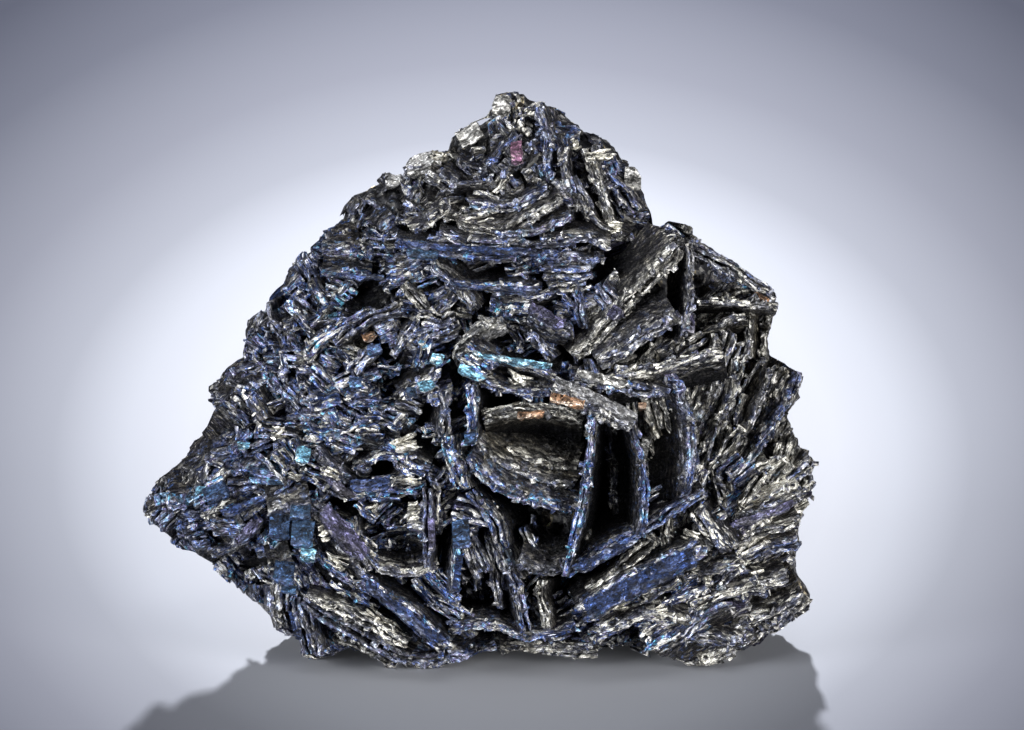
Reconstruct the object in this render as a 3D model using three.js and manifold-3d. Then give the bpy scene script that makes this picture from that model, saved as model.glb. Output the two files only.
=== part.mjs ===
// A covellite cluster: thin dark crystal blades grown through one another into an open
// boxwork, on a lumpy granular body that is broken off flat underneath.
// Everything has grown together, so the whole cluster is one solid.

import * as THREE from 'three';
import { mergeVertices } from 'three/addons/utils/BufferGeometryUtils.js';
import Module from 'manifold-3d';

// Overall size of the cluster in millimetres.
const WIDTH = 68.4;
const DEPTH = 39;
const HEIGHT = 57.6;

// The front view is seen from slightly above. Its points are written in tenths of a
// millimetre, across from the view's left and down from its top.
const VIEW_TILT = THREE.MathUtils.degToRad(11);
const TENTH = 0.1;
const VIEW_MIDDLE = 479;
const VIEW_FLOOR = 672;
const FOOT_Y = -6;

// The body: where its outline lies in depth, and how far it swells to the front and back.
const RIM_Y = 3;
const FRONT_SWELL = 15;
const BACK_SWELL = 14.5;
const FRONT_ROUNDNESS = 2.4;
const BACK_ROUNDNESS = 3.4;
const LUMP_HEIGHT = 1.6;
const LUMP_SPREAD = 0.03;
const EASING_PASSES = 6;
const BODY_CENTRE = [490, 430];
const FRONT_RINGS = [0, 0.35, 0.62, 0.84];
const BACK_RINGS = [1, 0.9, 0.6, 0];

// Blades: how deep they are rooted in the body, and how much wider they get on the way
// inwards, as a share of that reach, because their ends slant like a hexagon's corners.
const ROOT_DEPTH = 1.5;
const LONGEST_REACH = 13;
const END_SLANT = 0.06;

// Smaller blades stand all over the back, the sides and the top.
const BACK_BLADES = 26;
const BACK_BLADE_LENGTH = [9, 16];
const BACK_BLADE_PROUD = [1.4, 3];
const BACK_BLADE_THICKNESS = [0.9, 1.7];
const BACK_BLADE_REACH = 5;

// The outline of the body in the front view, clockwise from the left of its peak.
const OUTLINE = [
  [492, 103], [511, 91], [551, 101], [572, 113], [586, 132], [607, 142], [642, 172],
  [640, 191], [655, 232], [673, 221], [691, 226], [742, 272], [777, 298], [767, 338],
  [775, 362], [804, 372], [788, 418], [817, 455], [819, 491], [801, 522], [800, 560],
  [821, 603], [768, 639], [737, 662], [707, 671], [652, 660], [631, 647], [580, 663],
  [536, 656], [483, 652], [440, 671], [390, 670], [345, 649], [301, 661], [292, 637],
  [270, 634], [243, 600], [215, 572], [150, 532], [137, 512], [150, 484], [186, 450],
  [214, 417], [201, 389], [236, 360], [238, 333], [284, 282], [300, 255], [334, 226],
  [349, 200], [378, 178], [408, 157], [445, 146], [457, 126], [482, 119],
];

// Hollows in the front of the body: centre and half width in the view, depth in millimetres.
const HOLLOWS = [
  { at: [535, 450], half: 55, deep: 9 },
  { at: [725, 300], half: 48, deep: 8 },
  { at: [745, 400], half: 45, deep: 5 },
  { at: [600, 480], half: 45, deep: 6 },
  { at: [400, 535], half: 42, deep: 6 },
  { at: [500, 600], half: 40, deep: 5 },
  { at: [485, 338], half: 34, deep: 5 },
  { at: [500, 272], half: 34, deep: 4 },
];

// The front blades, by region. Each has the line of its front edge in the view, its
// thickness and the depth of that edge in millimetres, and its lean in degrees: the face of
// a leaning blade shows on the left of its line, or on the right where the lean is negative.
const CAP_BLADES = [
  { line: [[431, 217], [479, 221], [526, 202]], thick: 0.9, front: -10, lean: 35 },
  { line: [[461, 230], [500, 238], [562, 206]], thick: 0.9, front: -12, lean: 30 },
  { line: [[492, 239], [520, 240], [570, 221]], thick: 0.9, front: -13, lean: 20 },
  { line: [[558, 150], [562, 180], [569, 219]], thick: 1.0, front: -9, lean: 20 },
  { line: [[585, 150], [600, 190], [612, 232]], thick: 1.4, front: -8, lean: 12 },
];

const UPPER_BLADES = [
  { line: [[397, 248], [440, 255], [541, 258]], thick: 1.1, front: -16, lean: 30 },
  { line: [[549, 258], [602, 264]], thick: 0.9, front: -14, lean: 15 },
  { line: [[446, 287], [541, 293]], thick: 1.0, front: -15.5, lean: 12 },
  { line: [[429, 270], [476, 312]], thick: 1.0, front: -15.5, lean: 30 },
  { line: [[520, 300], [542, 294], [577, 284]], thick: 0.8, front: -15, lean: -10 },
  { line: [[446, 350], [470, 328], [495, 313]], thick: 1.1, front: -15, lean: -50 },
];

const RIGHT_UPPER_BLADES = [
  { line: [[582, 362], [624, 318], [684, 256]], thick: 2.0, front: -15, lean: 40 },
  { line: [[600, 368], [640, 342], [678, 320]], thick: 1.5, front: -16, lean: 42 },
  { line: [[602, 374], [643, 364], [718, 345]], thick: 0.8, front: -16.5, lean: -45 },
  { line: [[569, 376], [608, 384], [666, 394]], thick: 1.0, front: -18, lean: 12 },
  { line: [[688, 248], [692, 288], [679, 341]], thick: 0.9, front: -14.5, lean: -14 },
  { line: [[675, 372], [698, 440], [690, 495]], thick: 0.9, front: -16.5, lean: -38 },
  { line: [[686, 246], [730, 269], [774, 298]], thick: 1.4, front: -13, lean: 2 },
  { line: [[698, 302], [776, 305]], thick: 0.8, front: -12, lean: -10 },
  { line: [[716, 335], [718, 365], [703, 418]], thick: 0.7, front: -12.5, lean: -14 },
  { line: [[748, 306], [746, 358]], thick: 0.8, front: -9, lean: 15 },
];

const RIGHT_BLADES = [
  { line: [[803, 375], [776, 433], [721, 503]], thick: 1.0, front: -9, lean: -40 },
  { line: [[772, 372], [748, 430], [712, 492]], thick: 0.9, front: -11, lean: -30 },
  { line: [[742, 362], [728, 410], [704, 456]], thick: 0.9, front: -12, lean: -25 },
  { line: [[753, 514], [790, 466]], thick: 0.8, front: -9, lean: -10 },
  { line: [[745, 522], [780, 492], [816, 462]], thick: 0.8, front: -9, lean: 15 },
  { line: [[770, 520], [818, 486]], thick: 0.8, front: -8, lean: 20 },
  { line: [[720, 534], [743, 521], [799, 499]], thick: 1.0, front: -11, lean: 15 },
  { line: [[718, 550], [801, 522]], thick: 0.9, front: -11, lean: 20 },
  { line: [[745, 560], [800, 546]], thick: 0.9, front: -11, lean: 25 },
  { line: [[705, 470], [738, 428]], thick: 0.8, front: -12.5, lean: -12 },
];

const CENTRE_BLADES = [
  { line: [[469, 353], [518, 360], [556, 371]], thick: 0.8, front: -18.5, lean: -15 },
  { line: [[480, 386], [515, 396], [556, 398]], thick: 0.9, front: -17.5, lean: 40 },
  { line: [[469, 384], [470, 443]], thick: 0.9, front: -18.5, lean: 12 },
  { line: [[546, 390], [588, 408], [624, 428]], thick: 1.3, front: -19.5, lean: 45 },
  { line: [[485, 414], [525, 406], [581, 414]], thick: 1.4, front: -17.5, lean: -15 },
  { line: [[481, 424], [532, 445], [569, 462]], thick: 0.9, front: -14, lean: -25 },
  { line: [[466, 462], [500, 494], [574, 513]], thick: 1.0, front: -17.5, lean: 55 },
  { line: [[590, 416], [588, 474], [563, 574]], thick: 1.0, front: -19.5, lean: 8 },
  { line: [[631, 416], [649, 480], [642, 534]], thick: 0.9, front: -18.5, lean: -18 },
  { line: [[612, 436], [618, 515]], thick: 0.8, front: -12, lean: -12 },
  { line: [[441, 438], [458, 490]], thick: 1.5, front: -17, lean: 40 },
  { line: [[466, 492], [490, 517], [501, 550]], thick: 0.8, front: -16, lean: 25 },
  { line: [[461, 520], [456, 592]], thick: 1.0, front: -16.5, lean: -15 },
  { line: [[486, 530], [497, 610]], thick: 0.8, front: -13.5, lean: 12 },
  { line: [[508, 558], [521, 598], [528, 632]], thick: 0.8, front: -14.5, lean: -12 },
];

const LOWER_RIGHT_BLADES = [
  { line: [[567, 574], [603, 549], [640, 532]], thick: 1.1, front: -17.5, lean: 20 },
  { line: [[640, 534], [677, 505], [705, 494]], thick: 1.1, front: -16, lean: 20 },
  { line: [[581, 613], [631, 578], [702, 549]], thick: 1.8, front: -17.5, lean: 15 },
  { line: [[589, 592], [631, 557], [658, 538]], thick: 0.9, front: -16.5, lean: 12 },
  { line: [[692, 512], [724, 552]], thick: 1.4, front: -15, lean: 25 },
  { line: [[640, 604], [690, 578], [740, 566]], thick: 1.0, front: -15, lean: 30 },
  { line: [[680, 622], [730, 596], [790, 584]], thick: 1.0, front: -12, lean: 35 },
  { line: [[720, 642], [770, 622], [808, 600]], thick: 1.0, front: -9, lean: 35 },
  { line: [[600, 634], [650, 618], [690, 626]], thick: 1.1, front: -14, lean: 35 },
  { line: [[660, 652], [700, 640], [744, 650]], thick: 1.2, front: -11, lean: 30 },
];

const BOTTOM_BLADES = [
  { line: [[449, 634], [488, 624], [525, 643]], thick: 0.9, front: -14, lean: 25 },
  { line: [[525, 643], [576, 632]], thick: 0.9, front: -14, lean: 30 },
  { line: [[359, 580], [397, 604], [444, 650]], thick: 1.6, front: -15.5, lean: 15 },
  { line: [[305, 597], [359, 621], [406, 646]], thick: 1.0, front: -14.5, lean: 20 },
  { line: [[301, 603], [341, 629], [406, 664]], thick: 0.9, front: -12.5, lean: 15 },
  { line: [[331, 640], [388, 668]], thick: 0.9, front: -9.5, lean: 20 },
  { line: [[314, 556], [352, 589]], thick: 1.2, front: -15, lean: 25 },
  { line: [[295, 599], [310, 655]], thick: 1.8, front: -11, lean: 20 },
];

const LOWER_LEFT_BLADES = [
  { line: [[315, 503], [345, 536], [372, 566]], thick: 2.0, front: -15, lean: -30 },
  { line: [[350, 517], [357, 545], [377, 571]], thick: 0.8, front: -15, lean: 15 },
  { line: [[377, 572], [405, 579], [437, 568]], thick: 0.8, front: -15.5, lean: 30 },
  { line: [[427, 487], [428, 567]], thick: 0.8, front: -17, lean: 10 },
  { line: [[350, 498], [397, 493], [427, 491]], thick: 0.9, front: -16, lean: 25 },
];

const LEFT_BLADES = [
  { line: [[313, 453], [337, 472], [351, 486]], thick: 1.0, front: -15, lean: 30 },
  { line: [[303, 470], [350, 498]], thick: 0.9, front: -15.5, lean: 15 },
  { line: [[230, 489], [300, 475]], thick: 0.8, front: -12.5, lean: 15 },
  { line: [[202, 519], [240, 502], [282, 491]], thick: 0.8, front: -11, lean: 20 },
  { line: [[200, 530], [230, 521], [273, 498]], thick: 0.9, front: -10, lean: 15 },
  { line: [[150, 522], [178, 498], [210, 488]], thick: 1.0, front: -6, lean: 30 },
  { line: [[220, 438], [246, 434], [279, 445]], thick: 0.9, front: -11, lean: 25 },
  { line: [[223, 407], [240, 394], [276, 387]], thick: 0.9, front: -9.5, lean: 25 },
  { line: [[305, 400], [325, 406], [351, 436]], thick: 1.4, front: -15, lean: 20 },
];

const MIDDLE_LEFT_BLADES = [
  { line: [[309, 350], [332, 331], [372, 307]], thick: 1.1, front: -14.5, lean: -20 },
  { line: [[335, 340], [358, 324], [399, 307]], thick: 0.9, front: -15.5, lean: -15 },
];

const FRONT_BLADES = [
  ...CAP_BLADES, ...UPPER_BLADES, ...RIGHT_UPPER_BLADES, ...RIGHT_BLADES, ...CENTRE_BLADES,
  ...LOWER_RIGHT_BLADES, ...BOTTOM_BLADES, ...LOWER_LEFT_BLADES, ...LEFT_BLADES,
  ...MIDDLE_LEFT_BLADES,
];

const wasm = await Module();
wasm.setup();

// Axes of the front view: to the right, up, and away from the viewer.
const ACROSS = new THREE.Vector3(1, 0, 0);
const UPWARD = new THREE.Vector3(0, Math.sin(VIEW_TILT), Math.cos(VIEW_TILT));
const AWAY = new THREE.Vector3(0, Math.cos(VIEW_TILT), -Math.sin(VIEW_TILT));

// A repeatable source of numbers between 0 and 1.
function numberSource(seed) {
  let state = seed;
  return () => {
    state = (Math.imul(state, 1664525) + 1013904223) >>> 0;
    return state / 2 ** 32;
  };
}

function between([low, high], share) {
  return low + (high - low) * share;
}

// The point of the cluster that is seen at a point of the front view, at a given depth.
function pointInView([across, down], y) {
  const up = (VIEW_FLOOR - down) * TENTH;
  const z = (up - (y - FOOT_Y) * Math.sin(VIEW_TILT)) / Math.cos(VIEW_TILT);
  return new THREE.Vector3((across - VIEW_MIDDLE) * TENTH, y, z);
}

function solidOf(geometry) {
  geometry.deleteAttribute('normal');
  geometry.deleteAttribute('uv');
  const merged = mergeVertices(geometry, 1e-4);
  return new wasm.Manifold(new wasm.Mesh({
    numProp: 3,
    vertProperties: new Float32Array(merged.attributes.position.array),
    triVerts: new Uint32Array(merged.index.array),
  }));
}

function geometryOf(solid) {
  const mesh = solid.getMesh();
  const geometry = new THREE.BufferGeometry();
  geometry.setAttribute('position', new THREE.BufferAttribute(mesh.vertProperties, 3));
  geometry.setIndex(new THREE.BufferAttribute(mesh.triVerts, 1));
  const faceted = geometry.toNonIndexed();
  faceted.computeVertexNormals();
  return faceted;
}

// How far the hollows push the front of the body back at a point of the view.
function hollowDepth([across, down]) {
  return HOLLOWS.reduce((sum, { at, half, deep }) => {
    const away = Math.hypot(across - at[0], down - at[1]) / half;
    return sum + deep * Math.exp(-away * away);
  }, 0);
}

// How far out a point of the view lies: 0 at the body's centre, 1 on its outline.
function shareOfOutline([across, down]) {
  const ray = [across - BODY_CENTRE[0], down - BODY_CENTRE[1]];
  for (let i = 0; i < OUTLINE.length; i += 1) {
    const start = OUTLINE[i].map((value, axis) => value - BODY_CENTRE[axis]);
    const end = OUTLINE[(i + 1) % OUTLINE.length].map((value, axis) => value - BODY_CENTRE[axis]);
    const side = [end[0] - start[0], end[1] - start[1]];
    const cross = ray[0] * side[1] - ray[1] * side[0];
    const stretch = (start[0] * side[1] - start[1] * side[0]) / cross;
    const along = (start[0] * ray[1] - start[1] * ray[0]) / cross;
    if (stretch > 0 && along >= 0 && along <= 1) return Math.min(1 / stretch, 1);
  }
  return 0;
}

// The depths of the body's front and back where it is seen at a given share of its outline.
function frontDepth(share, seen) {
  return RIM_Y - FRONT_SWELL * (1 - share ** FRONT_ROUNDNESS) ** (1 / FRONT_ROUNDNESS)
    + hollowDepth(seen);
}

function backDepth(share) {
  return RIM_Y + BACK_SWELL * (1 - share ** BACK_ROUNDNESS) ** (1 / BACK_ROUNDNESS);
}

// The outline with its notches eased away, for the parts of the body behind it.
function easedOutline() {
  let points = OUTLINE;
  for (let pass = 0; pass < EASING_PASSES; pass += 1) {
    const last = points;
    points = last.map((point, i) => point.map((value, axis) => (
      (last[(i + last.length - 1) % last.length][axis] + value
        + last[(i + 1) % last.length][axis]) / 3
    )));
  }
  return points;
}

// The body is a sphere whose front pole faces the viewer: each of its columns goes to one
// point of the outline, taken anticlockwise, and each ring shrinks towards the centre.
function bodySolid() {
  const rings = [...FRONT_RINGS, ...BACK_RINGS];
  const eased = easedOutline();
  const random = numberSource(7);
  const lumps = rings.map(() => OUTLINE.map(() => random() - 0.5));
  const geometry = new THREE.SphereGeometry(1, OUTLINE.length, rings.length - 1);
  const position = geometry.attributes.position;
  const perRing = OUTLINE.length + 1;
  for (let i = 0; i < position.count; i += 1) {
    const ring = Math.floor(i / perRing);
    const column = (OUTLINE.length - (i % perRing)) % OUTLINE.length;
    const share = rings[ring];
    const lump = share === 0 ? 0 : lumps[ring][column] * LUMP_HEIGHT;
    const edge = share === 1 ? OUTLINE[column] : eased[column];
    const spread = share + lump * LUMP_SPREAD;
    const seen = edge.map((value, axis) => (
      BODY_CENTRE[axis] + (value - BODY_CENTRE[axis]) * (share === 1 ? 1 : spread)
    ));
    const y = ring < FRONT_RINGS.length ? frontDepth(share, seen) : backDepth(share);
    position.setXYZ(i, ...pointInView(seen, y + lump).toArray());
  }
  return solidOf(geometry);
}

// A flat or bent plate of even thickness. Its outer edge runs through the given points, and
// it reaches inwards into the body, where it is wider.
function bladeSolid(points, inward, reach, thickness) {
  const segments = points.length - 1;
  const geometry = new THREE.BoxGeometry(1, 1, 1, segments, 1, 1);
  const position = geometry.attributes.position;
  for (let i = 0; i < position.count; i += 1) {
    const index = Math.round((position.getX(i) + 0.5) * segments);
    const before = points[Math.max(index - 1, 0)];
    const after = points[Math.min(index + 1, segments)];
    const along = after.clone().sub(before).normalize();
    const faceway = new THREE.Vector3().crossVectors(along, inward).normalize();
    const depth = position.getY(i) > 0 ? reach : 0;
    const end = Number(index === segments) - Number(index === 0);
    const vertex = points[index].clone()
      .addScaledVector(inward, depth)
      .addScaledVector(along, end * depth * END_SLANT)
      .addScaledVector(faceway, position.getZ(i) * thickness);
    position.setXYZ(i, vertex.x, vertex.y, vertex.z);
  }
  return solidOf(geometry);
}

// A blade of the front, whose face leans out of the line of sight.
function frontBladeSolid({ line, thick, front, lean }) {
  const start = line[0];
  const end = line[line.length - 1];
  const across = end[0] - start[0];
  const up = start[1] - end[1];
  const length = Math.hypot(across, up);
  const faceSide = new THREE.Vector3()
    .addScaledVector(ACROSS, -up / length)
    .addScaledVector(UPWARD, across / length);
  const angle = THREE.MathUtils.degToRad(lean);
  const inward = AWAY.clone().multiplyScalar(Math.cos(angle))
    .addScaledVector(faceSide, Math.sin(angle));
  const middle = line[Math.floor(line.length / 2)];
  const open = frontDepth(shareOfOutline(middle), middle) - front;
  const reach = Math.min(Math.max(open, 0) / Math.cos(angle) + ROOT_DEPTH, LONGEST_REACH);
  const points = line.map((place) => pointInView(place, front));
  return bladeSolid(points, inward, reach, thick);
}

// Blades on the back, sides and top: each stands a little proud of the body, edge outwards.
function backBladeSolids() {
  const random = numberSource(23);
  const centre = pointInView(BODY_CENTRE, RIM_Y);
  const solids = [];
  for (let i = 0; i < BACK_BLADES; i += 1) {
    const column = Math.floor(((i + random() * 0.6) / BACK_BLADES) * OUTLINE.length);
    const share = between([0.25, 0.97], Math.sqrt(random()));
    const seen = OUTLINE[column % OUTLINE.length].map((value, axis) => (
      BODY_CENTRE[axis] + (value - BODY_CENTRE[axis]) * share
    ));
    const surface = pointInView(seen, backDepth(share));
    const outward = surface.clone().sub(centre);
    outward.y *= 1.8;
    outward.normalize();
    const turn = random() * Math.PI;
    const side = new THREE.Vector3(0, 0, 1).cross(outward).normalize();
    const along = side.clone().multiplyScalar(Math.cos(turn))
      .addScaledVector(outward.clone().cross(side), Math.sin(turn));
    const half = between(BACK_BLADE_LENGTH, random()) / 2;
    const proud = between(BACK_BLADE_PROUD, random());
    const middle = surface.clone().addScaledVector(outward, proud);
    const points = [
      middle.clone().addScaledVector(along, -half),
      middle.clone().addScaledVector(along, half),
    ];
    const thickness = between(BACK_BLADE_THICKNESS, random());
    solids.push(bladeSolid(points, outward.negate(), BACK_BLADE_REACH, thickness));
  }
  return solids;
}

// The block that the cluster fills exactly: its underside cuts the flat foot.
function limitSolid() {
  const geometry = new THREE.BoxGeometry(WIDTH, DEPTH, HEIGHT);
  geometry.translate(0, 0, HEIGHT / 2);
  return solidOf(geometry);
}

function largestPiece(solid) {
  return solid.decompose().reduce((best, piece) => (
    piece.volume() > best.volume() ? piece : best
  ));
}

function clusterGeometry() {
  const grown = [...FRONT_BLADES.map(frontBladeSolid), ...backBladeSolids()]
    .reduce((whole, blade) => whole.add(blade), bodySolid());
  return geometryOf(largestPiece(grown.intersect(limitSolid())));
}

const cluster = new THREE.Mesh(
  clusterGeometry(),
  new THREE.MeshStandardMaterial({ color: 0x1c2036, roughness: 0.42, metalness: 0.7 }),
);
cluster.name = 'covellite_cluster';

const covellite = new THREE.Group();
covellite.name = 'covellite';
covellite.add(cluster);

export default covellite;
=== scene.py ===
"""Covellite cluster: dark metallic blades with iridescent edges, grown on a granular body."""

import math

import bpy
import numpy as np
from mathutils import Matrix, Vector, noise


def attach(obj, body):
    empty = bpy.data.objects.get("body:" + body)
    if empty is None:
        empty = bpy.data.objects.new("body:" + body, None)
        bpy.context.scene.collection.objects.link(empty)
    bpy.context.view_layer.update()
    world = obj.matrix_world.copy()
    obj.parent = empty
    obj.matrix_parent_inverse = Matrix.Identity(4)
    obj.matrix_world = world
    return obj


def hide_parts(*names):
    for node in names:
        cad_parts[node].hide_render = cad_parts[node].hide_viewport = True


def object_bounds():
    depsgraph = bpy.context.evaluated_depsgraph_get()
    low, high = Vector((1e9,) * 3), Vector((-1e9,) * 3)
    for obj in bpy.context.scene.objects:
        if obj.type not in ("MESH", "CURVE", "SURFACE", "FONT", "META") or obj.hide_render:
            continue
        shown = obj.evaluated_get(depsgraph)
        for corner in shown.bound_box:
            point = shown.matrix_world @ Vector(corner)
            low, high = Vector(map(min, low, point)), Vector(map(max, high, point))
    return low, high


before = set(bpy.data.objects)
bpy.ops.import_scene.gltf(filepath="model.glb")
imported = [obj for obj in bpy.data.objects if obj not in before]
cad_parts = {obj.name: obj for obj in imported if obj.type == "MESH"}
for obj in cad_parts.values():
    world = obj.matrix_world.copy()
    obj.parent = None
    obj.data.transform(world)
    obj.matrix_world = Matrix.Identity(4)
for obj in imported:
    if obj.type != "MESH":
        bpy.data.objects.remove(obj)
cad_low, cad_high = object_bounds()

# Lengths are in millimetres until a mesh is made.
MM = 0.001
HALF_WIDTH = 34.2
HALF_DEPTH = 19.5
TOP = cad_high.z / MM

# The front view looks down a little. Its points are in tenths of a millimetre, across from
# the view's left edge and down from its top.
VIEW_TILT = math.radians(11)
TENTH = 0.1
VIEW_MIDDLE = 479
VIEW_FLOOR = 672
FOOT_Y = -6
ACROSS = np.array([1.0, 0.0, 0.0])
UPWARD = np.array([0.0, math.sin(VIEW_TILT), math.cos(VIEW_TILT)])
AWAY = np.array([0.0, math.cos(VIEW_TILT), -math.sin(VIEW_TILT)])

# The camera: how wide its view is at the blades' front, in millimetres, and its lens.
VIEW_CENTRE = (512, 365)
FRONT_PLANE = -9
VIEW_WIDTH = 102.4
LENS = 200
SENSOR_WIDTH = 36

# The body under the blades: its depth at the rim, how far it swells to the front and back and
# how round, and its points. Its rim stays a little inside the outline.
BODY_CENTRE = np.array([490.0, 430.0])
RIM_Y = 3
FRONT_SWELL = 14
BACK_SWELL = 14.5
FRONT_ROUNDNESS = 2.4
BACK_ROUNDNESS = 3.4
BODY_COLUMNS = 380
BODY_RINGS = 120
BODY_RIM_SHARE = 0.995

# The outline in the front view, clockwise from the left of the peak.
OUTLINE = np.array([
    (492, 103), (493, 96), (500, 93), (511, 91), (519, 94), (523, 91), (528, 98), (540, 97),
    (551, 101), (560, 107), (572, 113), (580, 121), (586, 132), (597, 135), (607, 142),
    (617, 148), (624, 154), (630, 163), (638, 170), (642, 178), (640, 191), (647, 203),
    (652, 217), (655, 234), (662, 228), (669, 221), (676, 224), (686, 222), (691, 226),
    (692, 234), (701, 238), (708, 247), (716, 254), (728, 262), (742, 272), (762, 284),
    (773, 295), (777, 308), (772, 323), (767, 338), (769, 356), (780, 363), (789, 371),
    (804, 372), (802, 385), (797, 402), (788, 418), (795, 430), (800, 447), (812, 449),
    (818, 459), (817, 478), (819, 491), (815, 504), (802, 520), (801, 534), (801, 547),
    (795, 553), (801, 562), (807, 580), (815, 593), (821, 603), (815, 614), (802, 622),
    (793, 629), (768, 639), (763, 648), (737, 662), (721, 670), (707, 671), (691, 669),
    (675, 663), (673, 657), (652, 660), (646, 647), (631, 647), (603, 653), (599, 660),
    (580, 665), (571, 660), (536, 656), (513, 652), (502, 659), (494, 652), (483, 652),
    (460, 662), (446, 668), (437, 672), (428, 671), (420, 673), (410, 669), (398, 664),
    (394, 672), (386, 672), (380, 664), (358, 656), (345, 649), (335, 657), (320, 659),
    (312, 662), (301, 661), (298, 645), (292, 637), (284, 640), (273, 636), (268, 620),
    (257, 610), (243, 600), (232, 588), (215, 572), (203, 560), (190, 553), (170, 548),
    (150, 532), (140, 522), (137, 512), (140, 500), (147, 488), (158, 478), (170, 469),
    (184, 458), (186, 446), (200, 434), (214, 417), (214, 406), (203, 400), (201, 389),
    (208, 381), (217, 380), (230, 366), (241, 357), (241, 345), (238, 333), (240, 322),
    (250, 313), (263, 307), (270, 297), (284, 282), (289, 270), (300, 255), (310, 246),
    (319, 240), (321, 231), (334, 226), (341, 215), (349, 200), (358, 193), (367, 183),
    (378, 178), (383, 172), (395, 175), (404, 168), (408, 157), (418, 152), (432, 150),
    (445, 146), (453, 135), (457, 126), (470, 122), (482, 119), (490, 115),
], dtype=float)

# Hollows in the front of the body: place and half width in the view, depth in millimetres.
HOLLOWS = [
    (535, 450, 50, 9.0), (725, 300, 46, 8.0), (745, 400, 42, 4.5), (610, 480, 42, 4.5),
    (400, 535, 32, 4.0), (500, 600, 34, 4.5), (485, 338, 30, 5.0), (490, 273, 34, 4.0),
    (626, 250, 20, 4.0), (560, 590, 18, 4.0),
]

# Main blades of the front: the line of the front edge, thickness and depth of the edge in
# millimetres, and lean in degrees. The face shows left of the line, or right if negative.
# Some have a tint of their own, and the furthest that they reach in from the edge.
CAP_BLADES = [
    ([(431, 217), (479, 221), (526, 202)], 0.9, -10, 35, "grey", 4),
    ([(461, 230), (500, 238), (562, 206)], 0.9, -12, 30, "grey", 4),
    ([(492, 239), (520, 240), (570, 221)], 0.9, -13, 20, "dusky", 4),
    ([(455, 165), (489, 176)], 0.9, -7, 20),
    ([(491, 170), (519, 137)], 0.9, -8, 25),
    ([(558, 150), (562, 180), (569, 219)], 1.0, -9, 20, "violet"),
    ([(585, 150), (600, 190), (612, 232)], 1.2, -9, 12, "grey", 4),
    ([(437, 178), (470, 200)], 0.8, -8, 30),
    ([(412, 239), (446, 252)], 0.9, -12, 20),
    ([(470, 208), (510, 214), (548, 196)], 0.8, -11, 30, "dusky", 4),
    ([(440, 240), (480, 250), (520, 248)], 0.8, -14, 25, "violet", 4),
    ([(540, 248), (580, 240), (610, 250)], 0.9, -13, 30, "dusky", 4),
    ([(575, 200), (590, 225), (620, 243)], 1.0, -10, 20, "grey", 4),
    ([(590, 165), (615, 185), (632, 215)], 1.0, -6, 25, "dusky", 4),
    ([(505, 120), (520, 150), (512, 185)], 0.9, -7, -20, "violet", 4),
    ([(535, 110), (548, 140), (545, 175)], 0.9, -7, 20, "violet", 4),
    ([(416, 236), (444, 219), (452, 212)], 1.2, -11, 50, "dusky", 1.8),
]

UPPER_BLADES = [
    ([(397, 248), (440, 255), (541, 258)], 1.1, -16, 8, "blue", 5),
    ([(549, 258), (602, 264)], 0.9, -14, 15, "violet", 6),
    ([(446, 287), (541, 293)], 1.0, -15.5, 12),
    ([(429, 270), (476, 312)], 1.0, -15.5, 30, "violet", 4),
    ([(520, 300), (542, 294), (577, 284)], 0.8, -15, -10, "blue", 4),
    ([(571, 287), (579, 329)], 0.9, -15, 20, "violet", 6),
    ([(446, 350), (470, 328), (495, 313)], 1.1, -15.5, -50, "silver", 2.6),
    ([(490, 311), (532, 315)], 0.8, -16, 35, "cyan", 5),
    ([(527, 333), (549, 362)], 0.9, -15.5, 20, "violet", 6),
    ([(532, 308), (572, 328)], 1.2, -16, -40, "violet", 3),
    ([(401, 287), (428, 314)], 1.0, -14.5, 25, "grey", 6),
]

RIGHT_UPPER_BLADES = [
    ([(578, 361), (620, 312), (680, 253)], 2.0, -15, 32, "grey", 6),
    ([(600, 368), (640, 342), (678, 320)], 1.5, -16, 42, "grey", 6),
    ([(602, 374), (643, 364), (718, 345)], 0.8, -16.5, -40, "pale", 5),
    ([(569, 378), (608, 386), (666, 396)], 1.0, -18, 12, "dusky", 6),
    ([(688, 248), (692, 288), (679, 341)], 0.9, -14.5, -14, "violet", 8),
    ([(675, 372), (698, 440), (690, 495)], 0.9, -16.5, -38, "blue", 9),
    ([(686, 246), (730, 269), (774, 298)], 1.3, -13, 4, "dusky", 8),
    ([(698, 302), (776, 305)], 0.8, -12, -10, "pale", 6),
    ([(701, 328), (743, 312)], 0.7, -11, -20),
    ([(716, 335), (718, 365), (703, 418)], 0.7, -12.5, -14),
    ([(748, 306), (746, 358)], 0.8, -9, 15, "dark", 4),
    ([(765, 312), (760, 360)], 0.8, -7, 20, "dark", 4),
]

RIGHT_BLADES = [
    ([(803, 375), (776, 433), (721, 503)], 1.0, -9, -40, "dusky", 9),
    ([(772, 372), (748, 430), (712, 492)], 0.9, -11, -30, "dark"),
    ([(742, 362), (728, 410), (704, 456)], 0.9, -12, -25),
    ([(753, 514), (790, 466)], 0.8, -9, -10, "cream"),
    ([(745, 522), (780, 492), (816, 462)], 0.8, -9, 15),
    ([(770, 520), (818, 486)], 0.8, -8, 20, "cream"),
    ([(720, 534), (743, 521), (799, 499)], 1.0, -11, 15, "violet"),
    ([(718, 550), (801, 522)], 0.9, -11, 20, "grey"),
    ([(745, 560), (800, 546)], 0.9, -11, 25, "violet"),
    ([(705, 470), (738, 428)], 0.8, -12.5, -12),
]

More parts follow.
